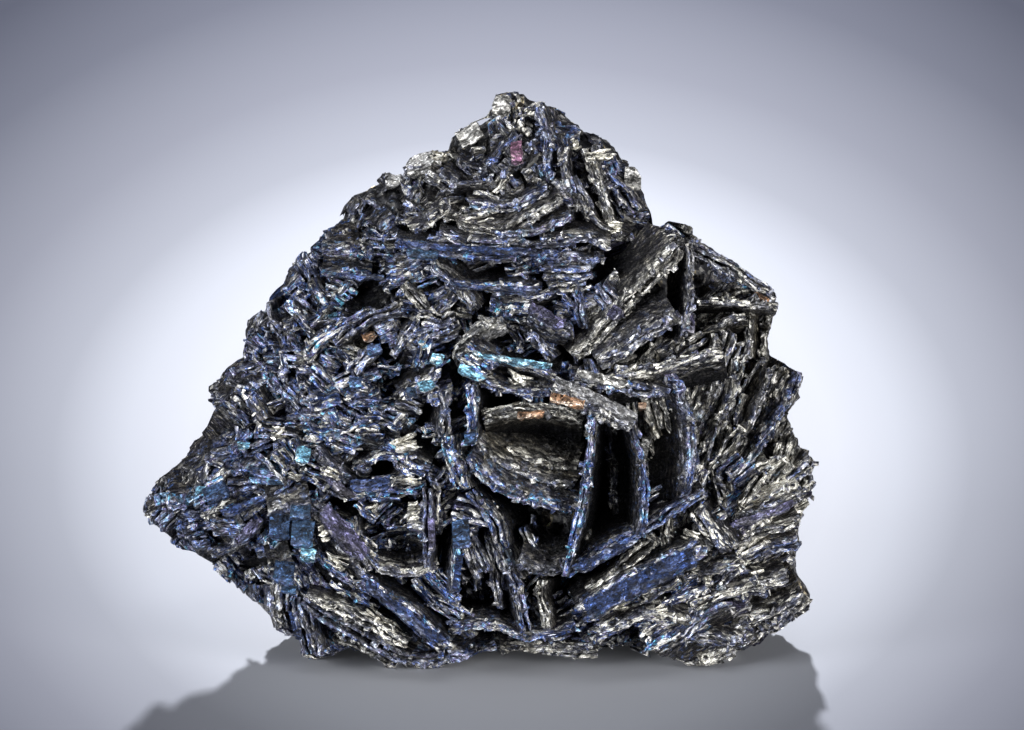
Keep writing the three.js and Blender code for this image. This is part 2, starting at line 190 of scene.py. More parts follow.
CENTRE_BLADES = [
    ([(462, 356), (490, 372)], 1.5, -19.5, 35, "cyan", 3),
    ([(469, 353), (518, 360), (556, 371)], 0.8, -18.5, -15, "cyan", 8),
    ([(480, 386), (515, 396), (556, 398)], 0.9, -17.5, 40, "dusky", 7),
    ([(469, 384), (470, 443)], 0.9, -18.5, 12, "blue", 8),
    ([(446, 392), (447, 436)], 0.9, -17.5, -15, "violet", 8),
    ([(548, 392), (590, 410), (626, 432)], 1.3, -19.5, 45, "silver", 1.9),
    ([(485, 414), (525, 406), (581, 414)], 1.4, -17.5, -15, "dark", 8),
    ([(481, 424), (532, 445), (569, 462)], 0.5, -12, -25, "dark", 8),
    ([(466, 462), (500, 494), (574, 513)], 1.0, -17.5, 44, "navy", 11),
    ([(472, 448), (512, 474), (572, 492)], 0.5, -16.2, 50, "dark", 6),
    ([(478, 438), (520, 462), (572, 477)], 0.5, -14.8, 50, "dark", 6),
    ([(519, 565), (542, 576), (563, 574)], 1.0, -16.5, 50, "violet", 5),
    ([(590, 416), (588, 474), (563, 574)], 1.0, -19.5, 8, "blue"),
    ([(631, 416), (649, 480), (642, 534)], 0.9, -18.5, -18, "blue"),
    ([(612, 436), (618, 515)], 0.8, -12, -12, "dark"),
    ([(441, 438), (458, 490)], 1.5, -17, 40, "glint", 5),
    ([(466, 492), (490, 517), (501, 550)], 0.8, -16, 25, "blue"),
    ([(461, 520), (456, 592)], 1.0, -16.5, -15, "blue"),
    ([(486, 530), (497, 610)], 0.8, -13.5, 12),
    ([(508, 558), (521, 598), (528, 632)], 0.8, -14.5, -12, "violet"),
    ([(540, 580), (546, 628)], 1.0, -14.5, 15, "grey"),
]

LOWER_RIGHT_BLADES = [
    ([(567, 574), (603, 549), (640, 532)], 1.1, -17.5, 20, "blue"),
    ([(640, 534), (677, 505), (705, 494)], 1.1, -16, 20, "blue"),
    ([(581, 613), (631, 578), (702, 549)], 1.8, -17.5, 15, "blue", 6),
    ([(589, 592), (631, 557), (658, 538)], 0.9, -16.5, 12, "cream"),
    ([(692, 512), (724, 552)], 1.4, -15, 25),
    ([(640, 604), (690, 578), (740, 566)], 1.0, -15, 30),
    ([(680, 622), (730, 596), (790, 584)], 1.0, -12, 35),
    ([(720, 642), (770, 622), (808, 600)], 1.0, -9, 35),
    ([(600, 634), (650, 618), (690, 626)], 1.1, -14, 35),
    ([(660, 652), (700, 640), (744, 650)], 1.2, -11, 30, "dusky"),
]

BOTTOM_BLADES = [
    ([(449, 634), (488, 624), (525, 643)], 0.9, -14, 25),
    ([(525, 643), (576, 632)], 0.9, -14, 30),
    ([(451, 662), (496, 651)], 0.9, -11, 30),
    ([(359, 580), (397, 604), (444, 650)], 1.6, -15.5, 15, "blue", 8),
    ([(305, 597), (359, 621), (406, 646)], 1.0, -14.5, 20, "cream", 7),
    ([(301, 603), (341, 629), (406, 664)], 0.9, -12.5, 15, "violet"),
    ([(331, 640), (388, 668)], 0.9, -9.5, 20, "grey"),
    ([(314, 556), (352, 589)], 1.2, -15, 25),
    ([(295, 599), (310, 655)], 1.8, -11, 20, "violet"),
    ([(276, 590), (281, 632)], 1.3, -9, -15, "dark"),
    ([(258, 588), (257, 606)], 0.9, -7, -15),
    ([(655, 656), (690, 669), (735, 661)], 2.2, -7.5, 30, "dark", 6),
    ([(740, 656), (770, 640), (800, 622)], 1.6, -5, 30, "grey", 6),
    ([(790, 628), (816, 606)], 1.6, -3, 30, "grey", 5),
    ([(386, 668), (420, 671), (446, 666)], 1.8, -7.5, 30, "violet", 6),
    ([(300, 655), (318, 657), (340, 652)], 1.6, -7, 30, "violet", 5),
    ([(500, 655), (540, 656), (598, 660)], 1.6, -7.5, 30, "grey", 6),
]

LOWER_LEFT_BLADES = [
    ([(315, 503), (345, 536), (372, 566)], 2.0, -15, -30, "violet", 6),
    ([(350, 517), (357, 545), (377, 571)], 0.8, -15, 15),
    ([(377, 572), (405, 579), (437, 568)], 0.8, -15.5, 30, "pale"),
    ([(427, 487), (428, 567)], 0.8, -17, 10, "violet"),
    ([(440, 490), (442, 532)], 0.7, -16, -20, "pale"),
    ([(350, 498), (397, 493), (427, 491)], 0.9, -16, 25, "blue"),
    ([(356, 472), (380, 459), (402, 460)], 0.8, -15.5, 20),
    ([(271, 520), (313, 512)], 1.0, -14.5, 62),
    ([(272, 584), (297, 578)], 1.0, -13, 66),
    ([(296, 548), (318, 544)], 1.0, -15, 62),
]

LEFT_BLADES = [
    ([(139, 500), (137, 512), (146, 527)], 1.2, 0, 12, "violet", 6),
    ([(143, 493), (158, 479), (170, 470)], 1.0, -1, 20, "violet", 6),
    ([(313, 453), (337, 472), (351, 486)], 1.0, -15, 30, "violet"),
    ([(303, 470), (350, 498)], 0.9, -15.5, 15, "pale"),
    ([(230, 489), (300, 475)], 0.8, -12.5, 15),
    ([(202, 519), (240, 502), (282, 491)], 0.8, -11, 20, "cream"),
    ([(200, 530), (230, 521), (273, 498)], 0.9, -10, 15),
    ([(230, 545), (263, 514)], 1.0, -11.5, -15, "violet"),
    ([(200, 476), (227, 450)], 1.0, -9, 25, "violet"),
    ([(150, 522), (178, 498), (210, 488)], 1.0, -6, 30, "pale"),
    ([(158, 494), (196, 470)], 1.0, -4.5, 35, "grey"),
    ([(220, 438), (246, 434), (279, 445)], 0.9, -11, 25),
    ([(223, 407), (240, 394), (276, 387)], 0.9, -9.5, 25),
    ([(209, 557), (234, 549), (258, 550)], 0.9, -10, 20),
    ([(305, 400), (325, 406), (351, 436)], 1.4, -15, 20),
]

MIDDLE_LEFT_BLADES = [
    ([(267, 305), (272, 325), (291, 344)], 0.8, -10, 20, "violet"),
    ([(285, 306), (316, 336)], 0.8, -11.5, 15),
    ([(309, 350), (332, 331), (372, 307)], 1.1, -14.5, -20, "cyan"),
    ([(335, 340), (358, 324), (399, 307)], 0.9, -15.5, -15, "dusky"),
    ([(326, 340), (371, 358)], 0.8, -14.5, 20, "dark"),
    ([(323, 277), (371, 279)], 1.0, -11.5, 25),
    ([(283, 352), (285, 385)], 0.8, -12, 15),
    ([(302, 367), (327, 342)], 0.9, -13.5, 20),
    ([(349, 402), (382, 395)], 0.9, -16, 25),
    ([(401, 352), (420, 326)], 1.0, -15.5, 20),
    ([(404, 400), (442, 378)], 1.2, -17.5, 25, "pale"),
]
# The furthest that a main blade reaches in from its edge, and how thick one of its plates is.
LONGEST_REACH = 15
PLATE_THICKNESS = 0.5

# Smaller blades: centre and half size of their zone in the view, the direction in which their
# edges run and how far it varies in degrees, how densely they stand, their lengths in
# millimetres, how far they stand out of the body, and the tint.
ZONES = [
    ((365, 225), (60, 42), 20, 60, 60, (1.5, 3.5), 2.5, "dusky"),
    ((450, 190), (50, 40), 15, 50, 45, (1.5, 4.0), 3.0, "grey"),
    ((560, 150), (75, 50), -20, 80, 90, (0.9, 2.4), 2.0, "violet"),
    ((600, 200), (45, 50), -70, 35, 40, (1.5, 4.5), 2.5, "violet"),
    ((500, 225), (90, 35), 5, 25, 34, (2.0, 5.0), 4.5, "dusky"),
    ((300, 300), (50, 50), -40, 40, 90, (1.5, 4.0), 4.0, "blue"),
    ((365, 300), (70, 55), 25, 35, 110, (2.0, 5.0), 5.0, "blue"),
    ((260, 370), (55, 45), 10, 50, 80, (1.5, 4.0), 3.5, "dusky"),
    ((330, 390), (70, 60), -35, 40, 120, (1.5, 4.5), 5.0, "blue"),
    ((400, 370), (60, 55), 20, 50, 90, (1.5, 4.0), 6.0, "glint"),
    ((200, 500), (60, 40), 25, 25, 110, (1.5, 5.0), 3.5, "blue"),
    ((270, 470), (70, 50), 20, 30, 110, (2.0, 5.0), 5.0, "blue"),
    ((330, 460), (70, 55), -20, 40, 90, (2.0, 5.0), 6.0, "glint"),
    ((240, 560), (50, 45), -60, 30, 80, (1.5, 4.0), 4.0, "blue"),
    ((300, 610), (50, 50), -70, 25, 60, (2.0, 5.0), 4.5, "dusky"),
    ((370, 620), (75, 45), -38, 15, 90, (3.0, 7.0), 5.0, "glint"),
    ((410, 480), (60, 50), 10, 50, 70, (1.5, 4.5), 6.0, "glint"),
    ((490, 590), (60, 55), -72, 18, 70, (2.5, 6.0), 5.0, "dusky"),
    ((640, 590), (85, 45), 30, 18, 110, (3.0, 7.0), 5.5, "glint"),
    ((735, 600), (75, 50), 25, 60, 150, (1.5, 4.5), 3.0, "pale"),
    ((760, 520), (60, 45), 38, 14, 90, (3.0, 7.0), 4.0, "pale"),
    ((690, 510), (50, 45), 45, 30, 60, (2.0, 5.0), 5.0, "blue"),
    ((750, 430), (65, 60), 62, 14, 100, (3.0, 8.0), 4.5, "dark"),
    ((690, 430), (40, 60), -75, 12, 50, (3.0, 7.0), 4.5, "dark"),
    ((735, 320), (45, 40), 5, 60, 50, (2.0, 5.0), 4.0, "dark"),
    ((660, 330), (60, 50), 40, 18, 60, (3.0, 7.0), 4.5, "dark"),
    ((560, 330), (60, 50), -30, 60, 60, (1.5, 4.5), 5.0, "blue"),
    ((500, 300), (70, 45), 5, 25, 50, (2.0, 5.0), 4.5, "blue"),
    ((620, 460), (40, 60), -82, 10, 40, (4.0, 8.0), 4.5, "dark"),
    ((400, 535), (40, 26), 15, 40, 45, (2.0, 5.0), 4.5, "glint"),
    ((600, 640), (120, 14), 10, 20, 50, (2.0, 4.5), 3.5, "dusky"),
    ((180, 470), (35, 30), 40, 30, 60, (1.5, 3.5), 3.0, "grey"),
    ((800, 480), (22, 60), 50, 30, 60, (1.5, 4.0), 3.0, "pale"),
    ((675, 240), (22, 18), 40, 50, 40, (1.2, 3.0), 4.0, "grey"),
    ((790, 400), (20, 40), 70, 30, 40, (1.5, 4.0), 3.0, "dark"),
    ((752, 392), (42, 28), 66, 10, 75, (3.0, 6.0), 6.5, "dark"),
    ((782, 366), (22, 10), 35, 35, 34, (1.6, 3.4), 2.6, "dark"),
    ((368, 205), (24, 26), 30, 70, 60, (1.0, 2.6), 2.0, "dusky"),
    ((506, 108), (16, 14), 60, 70, 36, (0.8, 2.0), 1.6, "pale"),
]
# They stand in bundles of parallel plates. How many bundles there are for each unit of density,
# the gaps between their plates in tenths of a millimetre, the most plates in one, how thick
# the plates are, how far bundles spill over their zone, and how near the outline they come.
BUNDLE_SHARE = 0.41
BUNDLE_GAPS = (4.0, 8.5)
MOST_PLATES = 4
SMALL_THICKNESSES = (0.25, 0.75)
ZONE_SPILL = 1.2
ZONE_LIMIT = 0.985
# Zones left of this place make one piece and the others a second one.
SPLIT = 495

# Small crystals on the blades: how many, their half lengths, their shape, how uneven they are,
# and how near the rim of a blade they sit.
GRAIN_CRYSTALS = 9000
GRAIN_SIZES = (0.12, 0.50)
GRAIN_SHAPE = (1.0, 0.6, 0.35)
GRAIN_UNEVENNESS = 0.25
GRAIN_RIM = 0.15

# How many waves and grains of unevenness there are in a millimetre, and their heights.
WAVE, WAVE_HEIGHT = 0.55, 0.20
GRAIN, GRAIN_HEIGHT = 2.3, 0.15
BODY_LUMP, BODY_LUMP_HEIGHT = 0.22, 1.3
BODY_GRAIN, BODY_GRAIN_HEIGHT = 0.9, 0.5
BODY_SINK = 0.3
# How far blades may pass the solid's box across, in depth and above, and the body above.
BLADE_MARGIN = np.array([0.5, 0.4, 1.2])
BODY_MARGIN = 1.0

# A plate's corners are cut over a share of its length, up to a limit. Its chips and the bumps
# of its faces have these lengths, and its outer edge is thinner than the rest.
CORNER_SHARE, LARGEST_CORNER, CORNER_SLOPE = 0.16, 1.1, 0.7
CHIP_LENGTH, BUMP_LENGTH = 2.2, 2.0
EDGE_THINNESS = 0.62
# How far in from the outer edge the rows of points lie, as shares of the reach.
DEPTH_SHARES = {
    5: np.array([0.0, 0.03, 0.1, 0.35, 1.0]),
    6: np.array([0.0, 0.025, 0.08, 0.25, 0.55, 1.0]),
}
# How fast the bright rim of a plate fades, and how fast painted shade darkens its face
# towards its root, deep between the blades. Near the outline of the body the painted shade
# fades out and faces stay light.
RIM_DEPTH = 0.45
PAINTED_SHADE_DEPTH = 5.2
LIGHT_SHARE, LIGHT_SLOPE = 0.96, 6

# Blades of the back and sides: how many, their lengths and thicknesses, how far they stand
# out, of how many plates each is made, and the least share of the way from the middle of the
# body to its rim.
BACK_BLADES = [
    (70, (7.0, 14.0), (0.9, 1.6), (1.2, 3.2), 2, 0.0),
    (360, (3.0, 8.0), (0.3, 0.9), (0.2, 2.2), 1, 0.0),
    (330, (2.5, 7.0), (0.3, 1.0), (0.0, 1.2), 1, 0.9),
]
BACK_REACH = 5.5
BACK_LIMIT = 0.985
BACK_TINTS = ("blue", "dusky", "dark", "glint")
# How many of the ones near the rim stand on the front.
FRONT_SHARE = 0.4

# Flat faces turned to the viewer: middle, width and height in the view, turn in degrees, how
# far they stand out of the body in millimetres, and the tint. Cream and pale ones are partly
# pale grains and partly painted reflection of the lamps.
FACETS = [
    ((281, 526), (21, 27), -5, 8.0, "steel"), ((302, 511), (20, 17), -3, 8.5, "steel"),
    ((304, 534), (21, 26), -4, 8.5, "steel"), ((309, 555), (14, 14), -8, 8.0, "cyan"),
    ((284, 574), (20, 25), -6, 7.5, "steel"), ((288, 592), (13, 10), -6, 7.0, "steel"),
    ((475, 367), (27, 24), -20, 9.8, "ice"), ((462, 533), (18, 28), 5, 8.5, "steel"),
    ((305, 454), (14, 17), -15, 8.0, "cyan"), ((217, 493), (22, 18), 25, 6.5, "steel"),
    ((201, 491), (9, 8), 0, 6.5, "cyan"), ((428, 386), (14, 9), 20, 10.5, "cyan"),
    ((413, 393), (10, 8), 0, 9.0, "steel"), ((438, 360), (12, 10), -20, 8.5, "cyan"),
    ((471, 437), (10, 14), 0, 9.0, "steel"), ((245, 446), (11, 8), 0, 6.5, "cyan"),
    ((377, 351), (13, 9), 10, 8.5, "steel"), ((358, 383), (13, 11), 0, 8.0, "steel"),
    ((333, 473), (20, 9), -28, 7.5, "cream"), ((297, 475), (13, 5), 0, 7.5, "cream"),
    ((280, 433), (18, 13), 15, 6.0, "cream"), ((324, 530), (8, 25), 40, 8.0, "cream"),
    ((337, 561), (22, 14), -30, 8.0, "cream"), ((382, 628), (42, 19), -34, 7.8, "cream"),
    ((352, 618), (26, 7), -25, 6.5, "cream"), ((407, 480), (34, 6), 0, 8.0, "cream"),
    ((408, 444), (28, 13), 10, 8.0, "cream"), ((415, 510), (13, 22), 5, 7.5, "cream"),
    ((393, 523), (10, 9), 30, 5.0, "cream"), ((371, 508), (13, 8), 20, 6.0, "cream"),
    ((690, 536), (20, 12), -30, 7.0, "cream"), ((707, 577), (7, 15), -10, 6.5, "cream"),
    ((662, 612), (11, 15), 20, 6.5, "cream"), ((619, 606), (22, 8), 20, 7.0, "cream"),
    ((562, 614), (28, 20), 0, 4.0, "pale"), ((684, 365), (10, 16), 0, 7.0, "cream"),
    ((518, 380), (24, 13), -25, 7.5, "pale"), ((598, 157), (30, 10), -8, 7.0, "cream"),
    ((633, 179), (15, 24), 0, 2.5, "silver"), ((423, 164), (34, 24), 15, 2.5, "silver"),
    ((614, 228), (15, 11), 0, 4.5, "cream"), ((470, 135), (24, 18), 30, 2.0, "silver"),
    ((759, 574), (16, 13), 0, 4.0, "pale"), ((779, 585), (16, 10), 10, 4.0, "violet"),
    ((668, 555), (11, 10), 0, 6.0, "violet"), ((808, 493), (15, 10), 0, 3.0, "violet"),
    ((615, 314), (13, 12), 45, 6.0, "violet"), ((663, 318), (17, 8), 20, 5.5, "violet"),
    ((235, 371), (24, 11), 10, 3.5, "violet"), ((600, 379), (50, 7), -16, 13.0, "silver"),
    ((590, 426), (10, 22), -10, 6.0, "silver"), ((643, 450), (8, 24), -12, 6.0, "silver"),
    ((706, 531), (28, 32), -40, 5.0, "silver"), ((530, 414), (26, 9), 5, 14.0, "brown"),
    ((565, 401), (34, 10), -15, 13.0, "brown"), ((280, 612), (15, 38), -8, 4.0, "brown"),
    ((371, 338), (13, 8), 20, 6.0, "brown"), ((766, 294), (17, 15), -35, 3.0, "brown"),
    ((517, 158), (10, 22), 8, 9.5, "pink"), ((641, 406), (7, 6), 0, 6.5, "brown"),
    ((501, 106), (17, 20), 5, 2.5, "silver"), ((394, 181), (17, 12), 10, 2.0, "silver"),
    ((437, 158), (16, 10), -10, 4.0, "cream"), ((576, 146), (8, 12), 20, 5.5, "cream"),
    ((640, 582), (120, 20), 27, 9.0, "navy"), ((606, 553), (70, 9), 28, 9.0, "navy"),
    ((402, 612), (100, 11), -38, 8.5, "navy"), ((470, 252), (130, 8), -3, 9.5, "navy"),
    ((495, 291), (90, 7), -4, 9.5, "navy"), ((686, 430), (7, 70), 15, 7.5, "navy"),
    ((343, 533), (62, 20), -48, 7.5, "violet"), ((250, 530), (34, 12), 42, 5.5, "violet"),
    ((338, 484), (40, 8), -38, 7.0, "violet"), ((246, 506), (48, 7), 22, 5.5, "navy"),
    ((372, 484), (38, 13), 3, 7.5, "navy"), ((300, 625), (13, 55), 15, 5.5, "violet"),
    ((292, 618), (8, 50), 15, 6.5, "navy"), ((545, 318), (38, 12), -25, 8.0, "violet"),
    ((591, 470), (9, 60), -2, 8.5, "navy"), ((573, 532), (8, 50), -12, 8.5, "navy"),
    ((642, 500), (7, 50), 0, 8.5, "navy"), ((760, 517), (75, 8), 20, 6.0, "violet"),
    ((688, 310), (7, 50), 6, 9.0, "violet"), ((363, 279), (46, 7), 0, 6.0, "navy"),
    ((512, 361), (80, 7), -9, 13.5, "cyan"), ((424, 257), (30, 9), -4, 11.0, "steel"),
    ((432, 520), (6, 60), 0, 9.0, "violet"), ((458, 570), (7, 40), -8, 8.5, "navy"),
]
# Into how many slivers a face of these tints is split, how thick faces are, and how much of
# the bright rim is left on them.
SLIVERS = {"cream": 4, "pale": 3}
FACE_THICKNESS = 0.9
FACE_RIM = 0.3

# Each tint: its shares of blue, cream and brown, and how many of its small blades have faces
# of one flat colour.
TINTS = {
    "blue": (0.80, 0.28, 0.20, 0.08),
    "cyan": (1.00, 0.60, 0.10, 0.15),
    "steel": (1.00, 0.00, 0.10, 0.10),
    "ice": (1.00, 1.00, 0.10, 0.15),
    "glint": (0.70, 0.60, 0.30, 0.22),
    "dusky": (0.50, 0.35, 0.35, 0.08),
    "grey": (0.20, 0.45, 0.25, 0.06),
    "pale": (0.30, 0.90, 0.45, 0.45),
    "cream": (0.10, 1.00, 0.50, 0.60),
    "dark": (0.20, 0.35, 0.85, 0.05),
    "violet": (0.50, 0.20, 0.25, 0.05),
    "navy": (0.76, 0.15, 0.20, 0.05),
    "silver": (0.10, 0.42, 0.36, 0.12),
    "brown": (0.05, 0.30, 1.00, 0.10),
    "pink": (0.50, 0.80, 1.00, 0.10),
}
MAIN_TINTS = [
    (CAP_BLADES, "violet"), (UPPER_BLADES, "blue"), (RIGHT_UPPER_BLADES, "dark"),
    (RIGHT_BLADES, "pale"), (CENTRE_BLADES, "dusky"), (LOWER_RIGHT_BLADES, "pale"),
    (BOTTOM_BLADES, "blue"), (LOWER_LEFT_BLADES, "glint"), (LEFT_BLADES, "blue"),
    (MIDDLE_LEFT_BLADES, "blue"),
]


def point_in_view(across, down, y):
    """The point that is seen at a point of the front view, at a given depth."""
    up = (VIEW_FLOOR - down) * TENTH
    z = (up - (y - FOOT_Y) * math.sin(VIEW_TILT)) / math.cos(VIEW_TILT)
    return np.array([(across - VIEW_MIDDLE) * TENTH, y, z])


def place_in_view(points):
    """Where points are seen in the front view."""
    x, y, z = points.T
    up = z * math.cos(VIEW_TILT) + (y - FOOT_Y) * math.sin(VIEW_TILT)
    return x / TENTH + VIEW_MIDDLE, VIEW_FLOOR - up / TENTH


def between(rng, limits, power=1.0):
    """A random number between two limits, nearer to the first one for higher powers."""
    return limits[0] + (limits[1] - limits[0]) * rng.random() ** power


def unit(vector):
    return vector / np.linalg.norm(vector)


def outline_radius(angle):
    """Distance from the body's centre to the outline, in the view, for each angle."""
    spokes = OUTLINE - BODY_CENTRE
    angles = np.arctan2(spokes[:, 1], spokes[:, 0])
    order = np.argsort(angles)
    lengths = np.linalg.norm(spokes, axis=1)
    return np.interp(angle, angles[order], lengths[order], period=2 * math.pi)


def share_of_outline(across, down):
    """Distance from the body's centre as a share of the way to the outline."""
    dx, dy = across - BODY_CENTRE[0], down - BODY_CENTRE[1]
    return np.hypot(dx, dy) / outline_radius(np.arctan2(dy, dx))


def hollow_depth(across, down):
    total = 0.0
    for x, y, half, deep in HOLLOWS:
        total = total + deep * np.exp(-((across - x) ** 2 + (down - y) ** 2) / half**2)
    return total


def swell(share, height, roundness):
    return height * (1 - share**roundness) ** (1 / roundness)


def front_depth(across, down):
    """Depth of the body's front at a point of the view."""
    share = np.minimum(share_of_outline(across, down), 1.0)
    return RIM_Y - swell(share, FRONT_SWELL, FRONT_ROUNDNESS) + hollow_depth(across, down)


def back_depth(share):
    return RIM_Y + swell(share, BACK_SWELL, BACK_ROUNDNESS)


def held_inside(points, limit):
    """Draws points that show outside the outline back to it, without moving them in depth."""
    across, down = place_in_view(points)
    share = np.maximum(share_of_outline(across, down) / limit, 1.0)
    across = BODY_CENTRE[0] + (across - BODY_CENTRE[0]) / share
    down = BODY_CENTRE[1] + (down - BODY_CENTRE[1]) / share
    return np.stack(point_in_view(across, down, points[:, 1]), axis=1)


def uneven(points):
    """Moves each point a little, so that plates are wavy and their edges are grainy."""
    moved = [
        noise.noise_vector(Vector(p * WAVE)) * WAVE_HEIGHT
        + noise.noise_vector(Vector(p * GRAIN)) * GRAIN_HEIGHT
        for p in points
    ]
    return points + np.array(moved)


def mesh_object(name, points, faces, material, smooth=False):
    """An object in the scene, from points in millimetres."""
    mesh = bpy.data.meshes.new(name)
    mesh.from_pydata((points * MM).tolist(), [], faces)
    mesh.materials.append(material)
    mesh.polygons.foreach_set("use_smooth", np.full(len(mesh.polygons), smooth))
    mesh.update()
    made = bpy.data.objects.new(name, mesh)
    bpy.context.scene.collection.objects.link(made)
    return made


def dress_solid(made):
    """Lets a piece ride on the part's one body and stand in for its solid."""
    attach(made, "root")
    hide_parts("covellite_cluster")


class Heap:
    """Collects the points, faces and paint of many plates for one mesh."""

    def __init__(self):
        self.points, self.faces, self.count = [], [], 0
        self.rims, self.roots, self.plates, self.tints = [], [], [], []

    def add(self, points, faces, rims, roots, plate, tint):
        self.points.append(points)
        self.faces.append(faces + self.count)
        self.rims.append(rims)
        self.roots.append(roots)
        self.plates.append(plate)
        self.tints.append(np.broadcast_to(tint, (len(points), 4)))
        self.count += len(points)

    def piece(self, name, material):
        low = np.array([-HALF_WIDTH, -HALF_DEPTH, 0.0]) - BLADE_MARGIN * (1, 1, 0)
        high = np.array([HALF_WIDTH, HALF_DEPTH, TOP]) + BLADE_MARGIN
        points = np.clip(uneven(np.concatenate(self.points)), low, high)
        made = mesh_object(name, points, np.concatenate(self.faces).tolist(), material)
        # The "root" paint holds painted shade for the faces, deep between the blades.
        paints = (
            ("rim", "FLOAT", "value", self.rims),
            ("root", "FLOAT", "value", self.roots),
            ("tint", "FLOAT_COLOR", "color", self.tints),
            ("plate", "FLOAT_VECTOR", "vector", self.plates),
        )
        for key, kind, field, values in paints:
            paint = made.data.attributes.new(key, kind, "POINT")
            paint.data.foreach_set(field, np.concatenate(values).astype(np.float32).ravel())
        dress_solid(made)


def ragged_line(rng, count, coarse):
    """Uneven steps along an edge: straight runs with chips between, and a fine roughness."""
    runs = max(1, int(count / coarse))
    steps = rng.random(runs + 2)
    place = np.linspace(0, runs, count) + rng.random() * 0.9
    stepped = steps[np.floor(place).astype(int)]
    sloped = np.interp(place, np.arange(runs + 2), steps)
    return 0.5 * stepped + 0.3 * sloped + 0.2 * rng.random(count)


def eased_line(line, step):
    """Points at even steps along a line with its bends rounded, and how far along they are."""
    lengths = np.linalg.norm(np.diff(line, axis=0), axis=1)
    travelled = np.concatenate([[0], np.cumsum(lengths)])
    count = max(3, int(travelled[-1] / step) + 1)
    at = np.linspace(0, travelled[-1], count)
    edge = np.stack([np.interp(at, travelled, line[:, k]) for k in range(3)], axis=1)
    if len(line) > 2:
        kernel = max(1, count // 5)
        padded = np.pad(edge, ((kernel, kernel), (0, 0)), mode="edge")
        window = np.ones(2 * kernel + 1) / (2 * kernel + 1)
        eased = np.stack([np.convolve(padded[:, k], window, "valid") for k in range(3)], axis=1)
        from_end = np.minimum(np.arange(count), np.arange(count)[::-1])
        fade = np.minimum(from_end / kernel, 1)[:, None]
        edge = edge * (1 - fade) + eased * fade
    return at, edge


def wall(line, flip):
    """Faces along one edge of a plate, between its two sides."""
    quads = np.stack([line[:-1, 0], line[:-1, 1], line[1:, 1], line[1:, 0]], axis=-1)
    return quads[:, ::-1] if flip else quads


def plate_faces(index):
    """Faces of a closed plate, from the numbers of its points by length, depth and side."""
    a, b, c, d = index[:-1, :-1], index[1:, :-1], index[1:, 1:], index[:-1, 1:]
    return np.concatenate([
        np.stack([a[..., 0], b[..., 0], c[..., 0], d[..., 0]], axis=-1).reshape(-1, 4),
        np.stack([a[..., 1], d[..., 1], c[..., 1], b[..., 1]], axis=-1).reshape(-1, 4),
        wall(index[:, 0], False), wall(index[:, -1], True),
        wall(index[0], True), wall(index[-1], False),
    ])


def add_blade(heap, rng, line, inward, reach, thick, tint, step, rows, ragged, bend):
    """One thin plate. Its chipped outer edge follows the line and it reaches inwards."""
    at, edge = eased_line(line, step)
    count = len(at)
    along = np.gradient(edge, axis=0)
    along /= np.linalg.norm(along, axis=1)[:, None]
    faceway = np.cross(along, inward)
    faceway /= np.linalg.norm(faceway, axis=1)[:, None]
    from_end = np.minimum(at, at[-1] - at)
    corner = (0.3 + 0.7 * rng.random()) * min(LARGEST_CORNER, CORNER_SHARE * at[-1])
    setback = ragged * ragged_line(rng, count, CHIP_LENGTH / step)
    setback += np.maximum(corner - from_end, 0) * CORNER_SLOPE
    setback -= setback.min()
    shares = DEPTH_SHARES[rows]
    depth = setback[:, None] + (reach - setback[:, None]) * shares[None, :]
    profile = np.interp(shares, [0, shares[1], 1], [EDGE_THINNESS, 1.0, 1.0])
    half = 0.5 * thick * (0.75 + 0.5 * ragged_line(rng, count, BUMP_LENGTH / step))
    wave = bend * (np.interp(np.linspace(0, 3, count), np.arange(4), rng.random(4)) - 0.5)
    curl = off(rng, bend)
    base = (
        edge[:, None, :]
        + inward[None, None, :] * depth[:, :, None]
        + faceway[:, None, :] * (wave[:, None, None] + curl * shares[None, :, None] ** 2 * 2)
    )
    offset = faceway[:, None, :] * (half[:, None, None] * profile[None, :, None])
    points = np.stack([base + offset, base - offset], axis=2).reshape(-1, 3)
    index = np.arange(count * rows * 2).reshape(count, rows, 2)
    inside = np.broadcast_to((depth - setback[:, None])[:, :, None], index.shape).reshape(-1)
    outer = share_of_outline(*place_in_view(points))
    painted_shade_share = np.clip((LIGHT_SHARE - outer) * LIGHT_SLOPE, 0, 1)
    # Painted shade: a face darkens with depth in from its edge, as shade falls between blades.
    rims, roots = np.exp(-inside / RIM_DEPTH), (1 - np.exp(-inside / PAINTED_SHADE_DEPTH)) * painted_shade_share
    plate = np.stack(np.broadcast_arrays(
        at[:, None, None], depth[:, :, None], np.array([0.5, -0.5]) * thick
    ), axis=-1).reshape(-1, 3) + rng.random(3) * 90
    points = held_inside(points, 0.995 + 0.015 * rng.random())
    heap.add(points, plate_faces(index), rims, roots, plate, tint)


def off(rng, width):
    """A random number around zero, at most half the width away."""
    return width * (rng.random() - 0.5)


def directions(turn):
    """The ways along and across an edge in the view, for its turn in degrees."""
    cosine, sine = math.cos(math.radians(turn)), math.sin(math.radians(turn))
    return np.array([cosine, -sine]), np.array([sine, cosine])


def varied(rng, tint, amount=0.5):
    """A tint for one blade, a little off its neighbours', and whether its face is flat."""
    base = np.array(TINTS[tint][:3]) + (rng.random(3) - 0.5) * amount
    is_flat = float(rng.random() < TINTS[tint][3])
    return np.append(np.clip(base, 0.0, 1.0), is_flat)


def facing(start, end, lean):
    """The way a leaning blade of the front reaches from its edge."""
    run = np.array([end[0] - start[0], start[1] - end[1]], dtype=float)
    run /= np.linalg.norm(run)
    face_side = -run[1] * ACROSS + run[0] * UPWARD
    return math.cos(math.radians(lean)) * AWAY + math.sin(math.radians(lean)) * face_side


